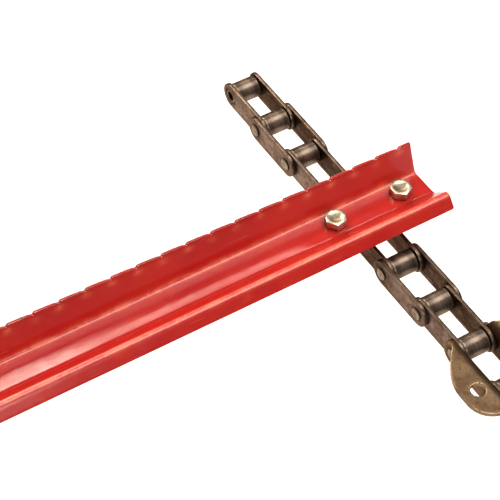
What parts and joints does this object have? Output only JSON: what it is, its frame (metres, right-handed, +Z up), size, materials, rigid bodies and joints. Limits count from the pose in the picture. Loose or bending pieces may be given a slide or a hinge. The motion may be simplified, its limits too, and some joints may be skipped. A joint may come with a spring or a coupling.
{
  "type": "slat conveyor chain section",
  "caption": "Run of attachment roller chain with a red serrated steel slat bolted across the wings of one link; pins flex and rollers turn.",
  "frame": {"origin": "middle of the bounding box, at the lowest plane: the bottom edges of the chain's side plates", "axes": "+X along the slat towards its chain end, +Y along the chain, +Z up, out of the chain loop"},
  "size_m": [0.457, 0.3926, 0.0522],
  "materials": {
    "slat": "glossy red paint, worn at the bends",
    "inner_plate": "oiled brown steel",
    "outer_plate": "oiled brown steel",
    "attachment_plate": "oiled brown steel",
    "bushing": "dark oiled steel",
    "roller": "dark oiled steel, polished where it rolls",
    "pin": "bright riveted ends",
    "bolt": "yellow zinc plate",
    "nut": "yellow zinc plate",
    "washer": "yellow zinc plate"
  },
  "bodies": {
    "slat_link": {"slat": "slat", "attachment_1_plate_left": "attachment_plate", "attachment_1_plate_right": "attachment_plate", "attachment_1_pin_far": "pin", "attachment_1_pin_near": "pin", "bolt_left": "bolt", "nut_left": "nut", "lockwasher_left": "washer", "bolt_right": "bolt", "nut_right": "nut", "lockwasher_right": "washer"},
    "inner_1": {"inner_1_plate_left": "inner_plate", "inner_1_plate_right": "inner_plate", "inner_1_bushing_far": "bushing", "inner_1_bushing_near": "bushing"},
    "inner_2": {"inner_2_plate_left": "inner_plate", "inner_2_plate_right": "inner_plate", "inner_2_bushing_far": "bushing", "inner_2_bushing_near": "bushing"},
    "inner_3": {"inner_3_plate_left": "inner_plate", "inner_3_plate_right": "inner_plate", "inner_3_bushing_far": "bushing", "inner_3_bushing_near": "bushing"},
    "inner_4": {"inner_4_plate_left": "inner_plate", "inner_4_plate_right": "inner_plate", "inner_4_bushing_far": "bushing", "inner_4_bushing_near": "bushing"},
    "inner_5": {"inner_5_plate_left": "inner_plate", "inner_5_plate_right": "inner_plate", "inner_5_bushing_far": "bushing", "inner_5_bushing_near": "bushing"},
    "outer_1": {"outer_1_plate_left": "outer_plate", "outer_1_plate_right": "outer_plate", "outer_1_pin_far": "pin", "outer_1_pin_near": "pin"},
    "outer_2": {"outer_2_plate_left": "outer_plate", "outer_2_plate_right": "outer_plate", "outer_2_pin_far": "pin", "outer_2_pin_near": "pin"},
    "attachment_2": {"attachment_2_plate_left": "attachment_plate", "attachment_2_plate_right": "attachment_plate", "attachment_2_pin_far": "pin", "attachment_2_pin_near": "pin"},
    "roller_0": {"inner_1_roller_far": "roller"},
    "roller_1": {"inner_1_roller_near": "roller"},
    "roller_2": {"inner_2_roller_far": "roller"},
    "roller_3": {"inner_2_roller_near": "roller"},
    "roller_4": {"inner_3_roller_far": "roller"},
    "roller_5": {"inner_3_roller_near": "roller"},
    "roller_6": {"inner_4_roller_far": "roller"},
    "roller_7": {"inner_4_roller_near": "roller"},
    "roller_8": {"inner_5_roller_far": "roller"},
    "roller_9": {"inner_5_roller_near": "roller"}
  },
  "joints": [
    {"name": "pin_3", "type": "hinge", "parent": "slat_link", "child": "inner_2", "pos_m": [0.1811, 0.0621, 0.01], "axis": [-1, 0, 0], "range_deg": [-10, 36]},
    {"name": "pin_2", "type": "hinge", "parent": "inner_2", "child": "outer_1", "pos_m": [0.1811, 0.1035, 0.01], "axis": [-1, 0, 0], "range_deg": [-10, 36]},
    {"name": "pin_1", "type": "hinge", "parent": "outer_1", "child": "inner_1", "pos_m": [0.1811, 0.1449, 0.01], "axis": [-1, 0, 0], "range_deg": [-10, 36]},
    {"name": "pin_4", "type": "hinge", "parent": "slat_link", "child": "inner_3", "pos_m": [0.1811, 0.0207, 0.01], "axis": [1, 0, 0], "range_deg": [-10, 36]},
    {"name": "pin_5", "type": "hinge", "parent": "inner_3", "child": "outer_2", "pos_m": [0.1811, -0.0207, 0.01], "axis": [1, 0, 0], "range_deg": [-10, 36]},
    {"name": "pin_6", "type": "hinge", "parent": "outer_2", "child": "inner_4", "pos_m": [0.1811, -0.0621, 0.01], "axis": [1, 0, 0], "range_deg": [-10, 36]},
    {"name": "pin_7", "type": "hinge", "parent": "inner_4", "child": "attachment_2", "pos_m": [0.1811, -0.1035, 0.01], "axis": [1, 0, 0], "range_deg": [-10, 36]},
    {"name": "pin_8", "type": "hinge", "parent": "attachment_2", "child": "inner_5", "pos_m": [0.1811, -0.1449, 0.01], "axis": [1, 0, 0], "range_deg": [-10, 36]},
    {"name": "roller_0_spin", "type": "hinge", "parent": "inner_1", "child": "roller_0", "pos_m": [0.1811, 0.1863, 0.01], "axis": [1, 0, 0], "continuous": true},
    {"name": "roller_1_spin", "type": "hinge", "parent": "inner_1", "child": "roller_1", "pos_m": [0.1811, 0.1449, 0.01], "axis": [1, 0, 0], "continuous": true},
    {"name": "roller_2_spin", "type": "hinge", "parent": "inner_2", "child": "roller_2", "pos_m": [0.1811, 0.1035, 0.01], "axis": [1, 0, 0], "continuous": true},
    {"name": "roller_3_spin", "type": "hinge", "parent": "inner_2", "child": "roller_3", "pos_m": [0.1811, 0.0621, 0.01], "axis": [1, 0, 0], "continuous": true},
    {"name": "roller_4_spin", "type": "hinge", "parent": "inner_3", "child": "roller_4", "pos_m": [0.1811, 0.0207, 0.01], "axis": [1, 0, 0], "continuous": true},
    {"name": "roller_5_spin", "type": "hinge", "parent": "inner_3", "child": "roller_5", "pos_m": [0.1811, -0.0207, 0.01], "axis": [1, 0, 0], "continuous": true},
    {"name": "roller_6_spin", "type": "hinge", "parent": "inner_4", "child": "roller_6", "pos_m": [0.1811, -0.0621, 0.01], "axis": [1, 0, 0], "continuous": true},
    {"name": "roller_7_spin", "type": "hinge", "parent": "inner_4", "child": "roller_7", "pos_m": [0.1811, -0.1035, 0.01], "axis": [1, 0, 0], "continuous": true},
    {"name": "roller_8_spin", "type": "hinge", "parent": "inner_5", "child": "roller_8", "pos_m": [0.1811, -0.1449, 0.01], "axis": [1, 0, 0], "continuous": true},
    {"name": "roller_9_spin", "type": "hinge", "parent": "inner_5", "child": "roller_9", "pos_m": [0.1811, -0.1863, 0.01], "axis": [1, 0, 0], "continuous": true}
  ]
}
